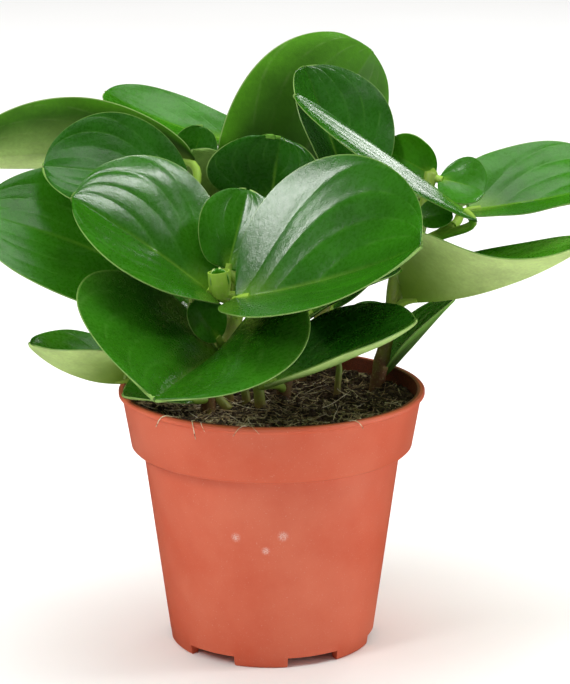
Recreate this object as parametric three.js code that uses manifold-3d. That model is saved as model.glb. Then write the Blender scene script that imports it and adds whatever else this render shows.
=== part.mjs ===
// A potted peperomia: a plastic nursery pot filled with peat, seven stems that stand in the peat,
// and on them broad fleshy leaves, each one piece with its stalk. Millimetres, +Z up, the pot's axis
// on Z and the surface it stands on at Z = 0. The side that is seen first faces -Y.
import * as THREE from "three";
import { mergeVertices } from "three/addons/utils/BufferGeometryUtils.js";
import Module from "manifold-3d";

const wasm = await Module();
wasm.setup();

// Pot: driving dimensions
const rimRadius = 60;
const potHeight = 102;
const collarBottomRadius = 55.2;
const collarBottomZ = 79;
const bodyTopRadius = 50.6;
const baseRadius = 40.2;
const potWall = 1.5;
const lipWidth = 1.4;
const padRadius = 22;
const channelInner = 25;
const channelOuter = 35;
const channelRise = 3;
const floorThickness = 1.6;
const notchWidth = 21;
const notchHeight = 4;
const notchCount = 6;
const notchStart = 24;
const drainHoleRadius = 4;
const drainHoleCentre = 30;
const potSides = 40;
const footRound = 0.7;
const shoulderRound = 0.9;
const lipDepth = 2.5;
const lipRound = 0.5;
const notchReach = 12;
const drainHoleDepth = 20;
const drainHoleSides = 12;

// Peat: its mean level, how far its top rises and falls, and the clearance between touching solids
const peatLevel = 96.5;
const peatBump = 1.8;
const peatFall = 0.02;
const peatSides = 32;
const peatRings = [45, 35, 24, 12, 0];
const clearance = 0.3;
const wallGap = clearance + 0.1;

// Foliage: radii and thicknesses, and the counts that a bar or a blade is divided into. socketRadius
// is the hole that a stem stands in, wide enough for the clearance at the flats of its sides.
const stemRadius = 3.1;
const stalkRadius = 1.7;
const smallStalkRadius = 1.2;
const smallLeafWidth = 15;
const barSides = 6;
const stemSteps = 7;
const stalkSteps = 4;
const socketRadius = stemRadius + clearance / Math.cos(Math.PI / barSides);
const bladeMiddle = 1.3;
const bladeEdge = 0.8;
const bladeEndWidth = 2;
const stationsAlong = 7;
const stationsAcross = 4;
const widestAt = 0.52;
const usualOpen = 0.3;
const usualFull = 0.5;
const stalkTuck = 0.07;
const youngLeafWidth = 30;

const colours = {
  pot: 0xc85a45,
  peat: 0x3a2a20,
  stem: 0x7a5a35,
  leaf: 0x2e6b24,
  youngLeaf: 0x5a9a2c,
};

// Small vector and solid helpers
const vec = ([x, y, z]) => new THREE.Vector3(x, y, z);
const radians = THREE.MathUtils.degToRad;

function toSolid(geometry) {
  const bare = geometry.clone();
  bare.deleteAttribute("normal");
  bare.deleteAttribute("uv");
  const merged = mergeVertices(bare, 1e-3);
  return new wasm.Manifold(
    new wasm.Mesh({
      numProp: 3,
      vertProperties: new Float32Array(merged.attributes.position.array),
      triVerts: new Uint32Array(merged.index.array),
    }),
  );
}

function toGeometry(solid) {
  const mesh = solid.getMesh();
  const geometry = new THREE.BufferGeometry();
  geometry.setAttribute("position", new THREE.BufferAttribute(mesh.vertProperties, 3));
  geometry.setIndex(new THREE.BufferAttribute(mesh.triVerts, 1));
  geometry.computeVertexNormals();
  return geometry;
}

// A round bar of a given radius along a curve
function barAlong(curve, radius, sides, steps) {
  const section = new THREE.Shape();
  for (let i = 0; i < sides; i++) {
    const turn = (2 * Math.PI * i) / sides;
    const x = radius * Math.cos(turn);
    const y = radius * Math.sin(turn);
    if (i === 0) section.moveTo(x, y);
    else section.lineTo(x, y);
  }
  section.closePath();
  return new THREE.ExtrudeGeometry(section, { steps, extrudePath: curve, bevelEnabled: false });
}

// The stems: name, points from inside the peat to the growing tip
const stems = {
  front: { path: [[-25, -17, 72], [-23, -19, 112], [-13.5, -19, 134], [-12, -19, 148]] },
  centre: { path: [[4, 2, 72], [5, 5, 120], [4, 11, 158]] },
  right: { path: [[38, 18, 72], [42, 20, 98], [47, 22, 122], [51, 22, 146], [72, 22, 162]] },
  right_shoot: { path: [[48.5, 22, 130], [58, 32, 155], [64, 42, 180]], grownFrom: "right" },
  back: { path: [[10, 26, 72], [12, 34, 130], [12, 42, 168]] },
  left: { path: [[-24, 8, 72], [-29, 9, 125], [-34, 16, 174]] },
  rear_left: { path: [[-18, 34, 72], [-20, 42, 100], [-26, 52, 130], [-24, 60, 178]] },
  rear_right: { path: [[10, 38, 72], [14, 45, 100], [24, 58, 130], [30, 70, 162]] },
};

const stemCurve = (name) => new THREE.CatmullRomCurve3(stems[name].path.map(vec));

// A stem with the shoots that have grown from it, as one solid
function stemSolid(name, radius) {
  const root = stems[name].grownFrom ?? name;
  return Object.keys(stems)
    .filter((other) => other === root || stems[other].grownFrom === root)
    .map((other) => toSolid(barAlong(stemCurve(other), radius, barSides, stemSteps)))
    .reduce((whole, bar) => whole.add(bar));
}

const rootedStems = Object.keys(stems).filter((name) => !stems[name].grownFrom);

// The leaves. stem and at: where the stalk leaves its stem, 0 at its foot and 1 at its tip.
// base and tip: the ends of the blade. face: the way its upper side looks. width: across the
// flattened blade. fold: how steeply both halves rise from the midrib. cup: how much more they
// rise towards the edge. arch: how far the midrib bows out of its chord, as a share of its length.
// open: the share of the fold that is gone at the tip. twist: how far the blade turns about its
// chord by the tip. full: how blunt the base is, from 0.1 for a broad one to 0.6 for a narrow one.
const leaves = {
  big_front: {
    stem: "front", at: 0.82, base: [-13, -34, 145.5], tip: [54, -74, 174], face: [-0.15, -0.54, 0.83],
    width: 100, fold: 38, cup: 2, arch: -0.04, open: 0.63, twist: -8, full: 0.5,
  },
  upper_left_front: {
    stem: "front", at: 0.9, base: [-21, -24, 143.5], tip: [-74, -36.5, 184.5], face: [0.08, -0.42, 0.9],
    width: 77, fold: 30, cup: -2, arch: 0.02, open: 0.47, twist: -4, full: 0.41,
  },
  young_upright: {
    stem: "front", at: 0.99, base: [-16.5, -21, 154], tip: [-9, -12.5, 183], face: [0.05, -0.93, 0.36],
    width: 33, fold: 22, cup: 7, arch: 0.05, open: 0.3, twist: -2, full: 0.26,
  },
  bud: {
    stem: "front", at: 0.93, base: [-19, -29.5, 147.5], tip: [-20.5, -31, 156.5], face: [0.1, -0.95, 0.3],
    width: 9, fold: 30, cup: 14, arch: 0.05,
  },
  low_front: {
    stem: "front", at: 0.5, base: [-20, -27, 122], tip: [-41, -104, 125], face: [-0.04, -0.17, 0.98],
    width: 103, fold: 56, cup: -4, arch: 0.01, open: 0.63, twist: -16, full: 0.34,
  },
  low_inner: {
    stem: "front", at: 0.62, base: [-20, -29, 128.5], tip: [-30, -31, 143.5], face: [0.35, -0.8, 0.4],
    width: 17, fold: 14, cup: 6, arch: 0.02,
  },
  soil_front_left: {
    stem: "front", at: 0.38, base: [-30, -24, 103], tip: [-57, -24, 106], face: [0.1, -0.3, 1],
    width: 26, fold: 15, cup: 10, arch: 0.04,
  },
  right_low: {
    stem: "centre", at: 0.32, base: [-2, -24, 109], tip: [55, -25, 135], face: [0.01, -0.12, 0.99],
    width: 58, fold: 17, cup: 2, arch: -0.02, open: 0.31, twist: 0, full: 0.45,
  },
  centre_dark: {
    stem: "centre", at: 0.68, base: [14, 0, 130], tip: [50, -2, 150], face: [-0.1, -0.15, 1],
    width: 38, fold: 12, cup: 8, arch: 0.05,
  },
  centre_back: {
    stem: "centre", at: 0.99, base: [0, 16, 171], tip: [4, 8, 201], face: [-0.15, -0.89, 0.43],
    width: 55, fold: 22, cup: 11, arch: 0.07, open: 0.3, twist: 0, full: 0.49,
  },
  right_boat: {
    stem: "right", at: 0.5, base: [53, 18, 133], tip: [120, -24, 165], face: [0.11, 0.44, 0.89],
    width: 76, fold: 56, cup: -1, arch: -0.07, open: 0.95, twist: 30, full: 0.35,
  },
  right_upper: {
    stem: "right", at: 0.99, base: [79.5, 44, 163.7], tip: [142, 46, 176], face: [-0.07, -0.31, 0.95],
    width: 67, fold: 19, cup: 5, arch: -0.03, open: 0.41, twist: -8, full: 0.17,
  },
  right_edge_on: {
    stem: "right", at: 0.9, base: [80, 14, 166], tip: [9, 15, 215], face: [0.63, -0.07, 0.77],
    width: 42, fold: -6, cup: -3, arch: 0.01, open: 0.3, twist: 1, full: 0.67,
  },
  right_low_back: {
    stem: "right", at: 0.34, base: [45, 25, 101], tip: [73, 37, 129], face: [-0.8, -0.01, 0.6],
    width: 39, fold: 16, cup: 3, arch: 0, open: 0.35, twist: 3, full: 0.39,
  },
  right_young_back: {
    stem: "right_shoot", at: 0.99, base: [65, 43, 178], tip: [45, 49, 188], face: [-0.36, -0.89, 0.27],
    width: 25, fold: 14, cup: 15, arch: 0.05, open: 0.3, twist: -1, full: 0.44,
  },
  right_young_front: {
    stem: "right_shoot", at: 0.95, base: [67, 40, 177], tip: [85, 34, 173], face: [0.2, -0.75, 0.6],
    width: 24, fold: 10, cup: 10, arch: 0.05,
  },
  right_curl: {
    stem: "right", at: 0.86, base: [57.5, 17, 166], tip: [71, 15, 168.5], face: [-0.1, -0.85, 0.5],
    width: 13, fold: 12, cup: 8, arch: 0.03,
  },
  back_right: {
    stem: "back", at: 0.96, base: [31, 31, 171.6], tip: [13, 46, 221.6], face: [0.66, -0.71, 0.26],
    width: 56, fold: 28, cup: 5, arch: 0, open: 0.3, twist: 4, full: 0.37,
  },
  back_top: {
    stem: "back", at: 0.99, base: [-10, 50, 160], tip: [41, 80, 224], face: [-0.15, 0.8, 0.3],
    width: 74, fold: 8, cup: 10, arch: -0.05, open: 0.3, twist: 0, full: 0.3,
  },
  far_left: {
    stem: "left", at: 0.9, base: [-31, 27, 187], tip: [-123, 30, 187], face: [0, 0.75, 0.7],
    width: 49, fold: 16, cup: 8, arch: 0.05,
  },
  left_upper: {
    stem: "left", at: 0.99, base: [-32, 5, 178], tip: [-87, -8, 191], face: [0.1, -0.65, 0.7],
    width: 50, fold: 12, cup: 10, arch: 0.06, open: 0.3, twist: 0, full: 0.4,
  },
  left_big: {
    stem: "left", at: 0.66, base: [-34, 0, 139], tip: [-112, -13, 174], face: [0.1, -0.65, 0.7],
    width: 63, fold: 10, cup: 8, arch: 0.06,
  },
  left_low: {
    stem: "left", at: 0.36, base: [-58, -9, 107], tip: [-93, -15, 123], face: [0, 0.07, 1],
    width: 48, fold: 51, cup: 2, arch: -0.1, open: 0.75, twist: -1, full: 0.4,
  },
  left_inner: {
    stem: "rear_left", at: 0.84, base: [-27, 46, 167], tip: [-32, 36, 190], face: [0.1, 0.8, 0.5],
    width: 26, fold: 14, cup: 10, arch: 0.04,
  },
  back_left_pale: {
    stem: "rear_left", at: 0.99, base: [-16, 64, 188], tip: [-69, 80, 206], face: [0.3, -0.4, 0.85],
    width: 33, fold: 12, cup: 8, arch: -0.05, open: 0.3, twist: 0, full: 0.15,
  },
  inner_back: {
    stem: "rear_left", at: 0.9, base: [-34, 46, 180], tip: [-27, 45, 197.5], face: [0, -0.9, 0.3],
    width: 18, fold: 5, cup: 5, arch: 0.04,
  },
  rear_left_side: {
    stem: "rear_left", at: 0.7, base: [-36, 54, 150], tip: [-94, 66, 160], face: [0.1, 0.1, 1],
    width: 52, fold: 14, cup: 8, arch: 0.08,
  },
  rear_left_low: {
    stem: "rear_left", at: 0.42, base: [-30, 54, 118], tip: [-54, 104, 130], face: [0, 0.1, 1],
    width: 52, fold: 16, cup: 8, arch: 0.08,
  },
  rear_left_back: {
    stem: "rear_left", at: 0.82, base: [-24, 66, 152], tip: [-14, 118, 154], face: [0, 0.1, 1],
    width: 52, fold: 14, cup: 8, arch: 0.08,
  },
  rear_right_side: {
    stem: "rear_right", at: 0.9, base: [36, 72, 156], tip: [78, 100, 154], face: [0, 0, 1],
    width: 50, fold: 14, cup: 8, arch: 0.08,
  },
  rear_right_low: {
    stem: "rear_right", at: 0.4, base: [24, 64, 118], tip: [30, 118, 128], face: [0, 0.1, 1],
    width: 54, fold: 16, cup: 8, arch: 0.08,
  },
  rear_right_mid: {
    stem: "rear_right", at: 0.68, base: [32, 64, 137], tip: [60, 88, 140], face: [0, 0, 1],
    width: 42, fold: 16, cup: 8, arch: 0.08,
  },
  rear_right_back: {
    stem: "rear_right", at: 0.88, base: [22, 88, 160], tip: [14, 132, 172], face: [0, 0, 1],
    width: 46, fold: 14, cup: 8, arch: 0.08,
  },
  right_back_low: {
    stem: "rear_right", at: 0.36, base: [32, 56, 106], tip: [62, 80, 110], face: [0, 0, 1],
    width: 34, fold: 16, cup: 8, arch: 0.08,
  },
};

// A leaf's upper surface as a function of s, 0 at the blade's base and 1 at its tip, and of q, -1
// at one edge and 1 at the other
function bladeSurface(leaf) {
  const base = vec(leaf.base);
  const chord = vec(leaf.tip).sub(base);
  const length = chord.length();
  const along = chord.clone().normalize();
  const face = vec(leaf.face);
  const up = face.addScaledVector(along, -face.dot(along)).normalize();
  const skew = Math.log(0.5) / Math.log(widestAt);
  const { open = usualOpen, twist = 0, full = usualFull } = leaf;
  const halfWidth = (s) => {
    const bulge = Math.max(Math.sin(Math.PI * Math.pow(s, skew)), 0);
    const power = full + (usualFull - full) * s;
    return bladeEndWidth / 2 + ((leaf.width - bladeEndWidth) / 2) * Math.pow(bulge, power);
  };
  const middle = (s) =>
    base.clone().addScaledVector(chord, s).addScaledVector(up, leaf.arch * length * 4 * s * (1 - s));
  return (s, q) => {
    const reach = Math.abs(q) * halfWidth(s);
    const rise = radians(leaf.fold * (1 - open * s) + (leaf.cup * reach) / (leaf.width / 2));
    const above = up.clone().applyAxisAngle(along, radians(twist * s));
    const side = new THREE.Vector3().crossVectors(above, along);
    return middle(s)
      .addScaledVector(side, Math.sign(q) * reach * Math.cos(rise))
      .addScaledVector(above, reach * Math.sin(rise));
  };
}

// The blade: one grid for the upper face and the same grid for the lower, joined round the edge
function bladeGeometry(leaf) {
  const surface = bladeSurface(leaf);
  const grid = new THREE.PlaneGeometry(1, 1, stationsAlong, stationsAcross);
  const place = grid.attributes.position;
  const count = place.count;
  const points = new Float32Array(count * 6);
  const nudge = 0.01;
  for (let i = 0; i < count; i++) {
    const even = place.getX(i) + 0.5;
    const s = 0.5 * (1 - Math.cos(Math.PI * even));
    const q = 2 * place.getY(i);
    const here = surface(s, q);
    const alongStep = surface(Math.min(s + nudge, 1), q).sub(surface(Math.max(s - nudge, 0), q));
    const sideStep = surface(s, q + nudge).sub(surface(s, q - nudge));
    const normal = alongStep.cross(sideStep).normalize();
    const thickness = THREE.MathUtils.lerp(bladeMiddle, bladeEdge, Math.abs(q));
    const top = here.clone().addScaledVector(normal, thickness / 2);
    const bottom = here.clone().addScaledVector(normal, -thickness / 2);
    points.set([top.x, top.y, top.z], 3 * i);
    points.set([bottom.x, bottom.y, bottom.z], 3 * (count + i));
  }
  const triangles = [];
  for (let i = 0; i < grid.index.count; i += 3) {
    const [a, b, c] = [0, 1, 2].map((k) => grid.index.getX(i + k));
    triangles.push(a, b, c, count + c, count + b, count + a);
  }
  const row = stationsAlong + 1;
  const edge = [];
  for (let i = 0; i < stationsAlong; i++) edge.push(i);
  for (let j = 0; j < stationsAcross; j++) edge.push(j * row + stationsAlong);
  for (let i = stationsAlong; i > 0; i--) edge.push(stationsAcross * row + i);
  for (let j = stationsAcross; j > 0; j--) edge.push(j * row);
  edge.forEach((a, k) => {
    const b = edge[(k + 1) % edge.length];
    triangles.push(a, b, count + b, a, count + b, count + a);
  });
  const geometry = new THREE.BufferGeometry();
  geometry.setAttribute("position", new THREE.BufferAttribute(points, 3));
  geometry.setIndex(triangles);
  return geometry;
}

// The stalk: from the stem's axis in a bow to the blade, and a little way under it
function stalkCurve(leaf) {
  const stem = stemCurve(leaf.stem);
  const foot = stem.getPointAt(leaf.at);
  const surface = bladeSurface(leaf);
  const base = surface(0, 0);
  const inside = surface(stalkTuck, 0);
  const arrival = inside.clone().sub(base).normalize();
  const pull = foot.distanceTo(base) / 3;
  const leave = base.clone().sub(foot).normalize().add(stem.getTangentAt(leaf.at).multiplyScalar(0.5));
  return new THREE.CubicBezierCurve3(
    foot,
    foot.clone().addScaledVector(leave, pull),
    base.clone().addScaledVector(arrival, -pull),
    inside,
  );
}

function leafGeometry(leaf) {
  const radius = leaf.width < smallLeafWidth ? smallStalkRadius : stalkRadius;
  const blade = toSolid(bladeGeometry(leaf));
  const stalk = toSolid(barAlong(stalkCurve(leaf), radius, barSides, stalkSteps));
  const clear = blade.add(stalk).subtract(stemSolid(leaf.stem, socketRadius));
  const pieces = clear.decompose();
  return toGeometry(pieces.reduce((kept, piece) => (piece.volume() > kept.volume() ? piece : kept)));
}

// The pot: one turned wall with a collar, then notches in its foot and drain holes in its floor
function potGeometry() {
  const floorZ = channelRise + floorThickness;
  const innerCollar = collarBottomRadius - potWall;
  const profile = [
    [0, 0],
    [padRadius, 0],
    [channelInner, channelRise],
    [channelOuter, channelRise],
    [channelOuter + potWall, 0],
    [baseRadius - footRound, 0],
    [baseRadius, footRound],
    [bodyTopRadius, collarBottomZ - shoulderRound],
    [collarBottomRadius - shoulderRound, collarBottomZ],
    [collarBottomRadius, collarBottomZ + shoulderRound],
    [rimRadius - lipWidth, potHeight - lipDepth],
    [rimRadius, potHeight - lipDepth + shoulderRound],
    [rimRadius, potHeight - lipRound],
    [rimRadius - lipRound, potHeight],
    [rimRadius - lipWidth - potWall, potHeight],
    [innerCollar, collarBottomZ + potWall],
    [bodyTopRadius - potWall, collarBottomZ - footRound],
    [baseRadius - potWall + footRound, floorZ],
    [channelInner - potWall, floorZ],
    [padRadius - potWall, floorThickness],
    [0, floorThickness],
  ].map(([r, z]) => new THREE.Vector2(r, z));
  const turned = new THREE.LatheGeometry(profile, potSides).rotateX(Math.PI / 2);
  let pot = toSolid(turned);
  for (let i = 0; i < notchCount; i++) {
    const turn = radians(notchStart - 90 + (i * 360) / notchCount);
    const notch = new THREE.BoxGeometry(notchReach, notchWidth, 2 * notchHeight);
    notch.translate(baseRadius, 0, 0).rotateZ(turn);
    const [r, h] = [drainHoleRadius, drainHoleDepth];
    const hole = new THREE.CylinderGeometry(r, r, h, drainHoleSides);
    hole.rotateX(Math.PI / 2).translate(drainHoleCentre, 0, 0).rotateZ(turn);
    pot = pot.subtract(toSolid(notch)).subtract(toSolid(hole));
  }
  return toGeometry(pot);
}

// The height of the peat's uneven top above its level
function peatHeight(x, y) {
  const waves =
    Math.sin(0.21 * x + 0.5) * Math.cos(0.17 * y) +
    0.6 * Math.sin(0.43 * x + 0.31 * y + 1.2) +
    0.4 * Math.cos(0.61 * y - 0.37 * x);
  return (peatBump * waves) / 2 - peatFall * y;
}

function peatGeometry() {
  const floorZ = channelRise + floorThickness + clearance;
  const collarIn = collarBottomRadius - potWall - wallGap;
  const collarZ = collarBottomZ + potWall + 1;
  const slope = (rimRadius - lipWidth - collarBottomRadius) / (potHeight - lipDepth - collarBottomZ);
  const edgeRadius = collarIn + slope * (peatLevel - collarZ) - wallGap;
  const profile = [
    [0, floorZ],
    [baseRadius - potWall - wallGap, floorZ],
    [bodyTopRadius - potWall - wallGap, collarBottomZ],
    [collarIn, collarZ],
    [edgeRadius, peatLevel - peatBump],
    ...[edgeRadius, ...peatRings].map((r) => [r, peatLevel]),
  ].map(([r, z]) => new THREE.Vector2(r, z));
  const heap = new THREE.LatheGeometry(profile, peatSides).rotateX(Math.PI / 2);
  const place = heap.attributes.position;
  for (let i = 0; i < place.count; i++) {
    const [x, y] = [place.getX(i), place.getY(i)];
    if (place.getZ(i) > peatLevel - peatBump / 2) place.setZ(i, peatLevel + peatHeight(x, y));
  }
  let peat = toSolid(heap);
  for (const name of rootedStems) peat = peat.subtract(stemSolid(name, socketRadius));
  return toGeometry(peat);
}

// The whole plant
function addPiece(group, name, geometry, colour, roughness) {
  const material = new THREE.MeshStandardMaterial({ color: colour, roughness, metalness: 0 });
  const mesh = new THREE.Mesh(geometry, material);
  mesh.name = name;
  group.add(mesh);
}

const plant = new THREE.Group();
addPiece(plant, "pot", potGeometry(), colours.pot, 0.55);
addPiece(plant, "peat", peatGeometry(), colours.peat, 1);
for (const name of rootedStems)
  addPiece(plant, "stem_" + name, toGeometry(stemSolid(name, stemRadius)), colours.stem, 0.6);
for (const [name, leaf] of Object.entries(leaves)) {
  const colour = leaf.width < youngLeafWidth ? colours.youngLeaf : colours.leaf;
  addPiece(plant, "leaf_" + name, leafGeometry(leaf), colour, 0.35);
}

export default plant;
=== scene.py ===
import math
import random
from dataclasses import dataclass

import bmesh
import bpy
import numpy as np
from bpy.props import FloatProperty, FloatVectorProperty, IntProperty, PointerProperty
from mathutils import Matrix, Quaternion, Vector, noise


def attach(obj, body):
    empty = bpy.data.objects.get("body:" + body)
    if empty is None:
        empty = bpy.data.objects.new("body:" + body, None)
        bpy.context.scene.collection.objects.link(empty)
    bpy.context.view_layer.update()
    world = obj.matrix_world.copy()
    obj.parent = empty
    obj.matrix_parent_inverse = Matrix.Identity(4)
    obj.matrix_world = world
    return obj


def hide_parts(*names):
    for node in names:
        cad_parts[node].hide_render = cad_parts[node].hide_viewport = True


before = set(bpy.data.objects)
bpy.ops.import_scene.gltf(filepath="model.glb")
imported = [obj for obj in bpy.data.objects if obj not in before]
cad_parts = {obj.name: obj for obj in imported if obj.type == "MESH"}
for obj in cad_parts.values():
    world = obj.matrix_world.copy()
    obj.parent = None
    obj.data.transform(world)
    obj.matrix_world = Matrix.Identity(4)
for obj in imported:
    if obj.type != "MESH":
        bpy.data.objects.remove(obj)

bl_info = {
    "name": "Potted Peperomia",
    "version": (1, 0, 0),
    "blender": (4, 5, 0),
    "location": "View3D > Sidebar > Plant",
    "description": "Dresses a potted peperomia: waxy leaves, stems, peat, a nursery pot and its stage",
    "category": "Object",
}

MM = 0.001

# The pot, in millimetres, as in the solids
RIM_RADIUS = 60
POT_HEIGHT = 102
COLLAR_RADIUS = 55.2
COLLAR_Z = 79
BODY_RADIUS = 50.6
BASE_RADIUS = 40.2
POT_WALL = 1.5
LIP_WIDTH = 1.4
LIP_DEPTH = 2.5
LIP_ROUND = 0.5
PAD_RADIUS = 22
CHANNEL = (25, 35)
CHANNEL_RISE = 3
FLOOR_THICKNESS = 1.6
FOOT_ROUND = 0.7
SHOULDER_ROUND = 0.9
EDGE_ROUND = 0.3
NOTCH = (12, 21, 8)
NOTCH_COUNT = 6
NOTCH_START = 24
DRAIN_RADIUS = 4
DRAIN_CENTRE = 30
DRAIN_DEPTH = 20
WALL_STEPS = 8

# The peat's stain inside the pot, in millimetres: how deep in the collar's wall it starts and is full, and
# over what height above the collar's step
STAIN_DEPTH = (1, 0.6)
STAIN_RISE = 3

# Whitish scuffs on the pot's body: compass angle from +X in degrees, height and size in millimetres
SCUFFS = ((-106.5, 55, 2.5), (-84.6, 56, 2.8), (-92.6, 50, 2.2))

# The peat, in millimetres, as in the solid, and the loose bits on it
PEAT_LEVEL = 96.5
PEAT_BOTTOM = 5
PEAT_GAP = 0.4
PEAT_RADIUS = 56.6
PEAT_LEAN = 1.2
PEAT_STEP = 3
PEAT_EDGE = 2
PEAT_RINGS = 64
PEAT_BUMP = 1.8
PEAT_FALL = 0.02
PEAT_LUMP = 1.1
LUMP_PITCH = 0.22
FRONT_HEAP = 3.5
HEAP_START = 40
GRAIN_SIZE = (0.35, 1.3)
GRAIN_STRETCH = (0.6, 1.3)
GRAIN_MARGIN = 1
FRONT_SHARE = 0.5
FIBRE_LIFT = 5
FIBRE_MARGIN = 3

# The strands on the peat, by piece: dark and light colour, how many there are to each fibre that the
# settings ask for, their length and radius in millimetres, and how much they curl
STRANDS = {
    "peat_chaff": ("#5f4a30", "#dccb9f", 3, (1, 5), (0.12, 0.36), 0.05),
    "tan_fibres": ("#4f3c24", "#c8ab7c", 1 / 2, (4, 14), (0.12, 0.3), 0.08),
    "pale_roots": ("#b39a6a", "#f4ead0", 1 / 7, (6, 26), (0.14, 0.3), 0.14),
}

# Roots that climb over the lip: compass angles from +X in degrees, and their drop and radius in millimetres
STRAY_TURNS = (-127, -123, -119, -100, -96, -62)
STRAY_DROP = (1, 7)
STRAY_RADIUS = (0.18, 0.32)

# Thin young shoots that come out of the peat: points and radius in millimetres
SPROUTS = (
    ([(-11, -13, 90), (-14.5, -15.5, 95), (-20, -18.5, 102), (-23, -19, 108)], 2.2),
    ([(-4, -12, 92), (-4.5, -13, 99), (-5.5, -14, 106), (-9, -13, 114)], 2.5),
    ([(-10, -8, 92), (-10, -8, 100), (-12, -8, 108), (-15, -8, 116)], 1.9),
    ([(-16, 2, 92), (-19, -8, 112), (-16.5, -9, 129), (-15.6, -10, 142), (-14.6, -9, 160)], 2.2),
    ([(25.4, 8, 92), (26, 9, 100), (26.5, 10, 108), (24, 9, 116)], 1.5),
)

# The young sheath round the bud, an open cup, in millimetres
SHEATH_FOOT = (-18.8, -30, 145)
SHEATH_AHEAD = (-0.1, 0.03, 1)
SHEATH_RADII = (3.6, 5.1)
SHEATH_HEIGHT = 10
SHEATH_WALL = 0.5
SHEATH_BELLY = 0.9
SHEATH_FLAT = 0.8

# Stems and stalks, in millimetres, as in the solids, and their taper and knots as shares of the stem
STEM_RADIUS = 3.1
STEM_TAPER = 0.3
STEM_TIP = 0.4
KNOT_SWELL = 0.5
KNOT_LENGTH = 0.03
STALK_RADIUS = 1.7
SMALL_STALK_RADIUS = 1.2
SMALL_LEAF_WIDTH = 15
STALK_FOOT = 1.25

# Blades, in millimetres, as in the solids. Places along a blade and out from its midrib are shares.
BLADE_END_WIDTH = 2
BLADE_MIDDLE = 1.3
BLADE_EDGE = 0.42
WIDEST_AT = 0.52
STALK_TUCK = 0.07
KEEL = 0.7
KEEL_WIDTH = 1.6
NOTCH_LENGTH = 0.07
ROLL_START = 0.5
FULL_PUFF_WIDTH = 45
FULL_PUFF_GAP = 0.3
PUFF_POWER = 4
EDGE_CROWDING = 1.2

# How sharply the puffs fade out at the ends and at the margin, the share of the waves that is left at the
# midrib, how many waves there are along and across, and how much of the keel is gone at the tip
END_FADE = 0.7
MARGIN_FADE = 8
CALM_MIDRIB = 0.3
WAVES = (3, 2)
KEEL_FADE = 0.8

# The side veins of a blade: where each leaves the midrib, the share of the half width that it nears, and
# the length that it needs for that. All are shares of the blade.
VEINS = ((0.0, 1.15, 0.4), (0.09, 0.84, 0.35), (0.19, 0.52, 0.28), (0.42, 0.3, 0.22))
MARGIN_LINE = 1.25
VEIN_START = 0.03
RIB_REACH = 0.045
RIM_REACH = (0.982, 0.998)

# How strongly the leaf's wax and the pot's plastic bend light
WAX_IOR = 1.45
PLASTIC_IOR = 1.49

# How finely things are made: sides round, steps along a curve, and the angles in degrees past which an edge
# is sharp or is softened
POT_SIDES = 144
PEAT_SIDES = 160
SHEATH_SIDES = 40
STEM_SIDES = 20
SPROUT_SIDES = 16
STALK_SIDES = 12
FIBRE_SIDES = 4
STEM_STEPS = 60
CURVE_STEPS = 24
STRAY_STEPS = 12
STALK_STEPS = 10
STEM_SHARP = 60
SHARP = 50
SOFTENED = 40

# The stems, in millimetres: points from inside the peat to the growing tip
STEMS = {
    "front": [(-25, -17, 72), (-23, -19, 112), (-13.5, -19, 134), (-12, -19, 148)],
    "centre": [(4, 2, 72), (5, 5, 120), (4, 11, 158)],
    "right": [(38, 18, 72), (42, 20, 98), (47, 22, 122), (51, 22, 146), (72, 22, 162)],
    "back": [(10, 26, 72), (12, 34, 130), (12, 42, 168)],
    "left": [(-24, 8, 72), (-29, 9, 125), (-34, 16, 174)],
    "rear_left": [(-18, 34, 72), (-20, 42, 100), (-26, 52, 130), (-24, 60, 178)],
    "rear_right": [(10, 38, 72), (14, 45, 100), (24, 58, 130), (30, 70, 162)],
}
SHOOTS = {
    "right_shoot": ("right", [(48.5, 22, 130), (58, 32, 155), (64, 42, 180)]),
}


@dataclass
class Leaf:
    """A leaf, in millimetres and degrees. at, arch, open, its maturity with painted shade, and the painted
    shade across it are shares.
    """
    stem: str  # the stem or shoot that it stands on
    at: float  # where its stalk leaves that
    base: tuple  # the ends of its blade
    tip: tuple
    face: tuple  # the way its upper side looks
    width: float
    fold: float = 14  # how steeply its halves rise from the midrib
    cup: float = 8  # how much steeper they are at the edge
    arch: float = 0.08  # the midrib's bow
    open: float = 0.3  # how much of the fold is gone at the tip
    twist: float = 0  # how far it turns from base to tip
    full: float = 0.5  # how slim its base is
    age: float = 0.7  # 0 is a young yellow-green leaf, and 1 a mature dark one; set high, it also paints shade on leaves that lie in shadow
    painted_shade_across: float = 0  # painted shade: how much darker one side of the blade is made
    notch: float = 0.4  # the dent at its tip
    puff: float = 1  # how far it swells between its veins
    roll: float = 0  # how far one margin turns up


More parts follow.
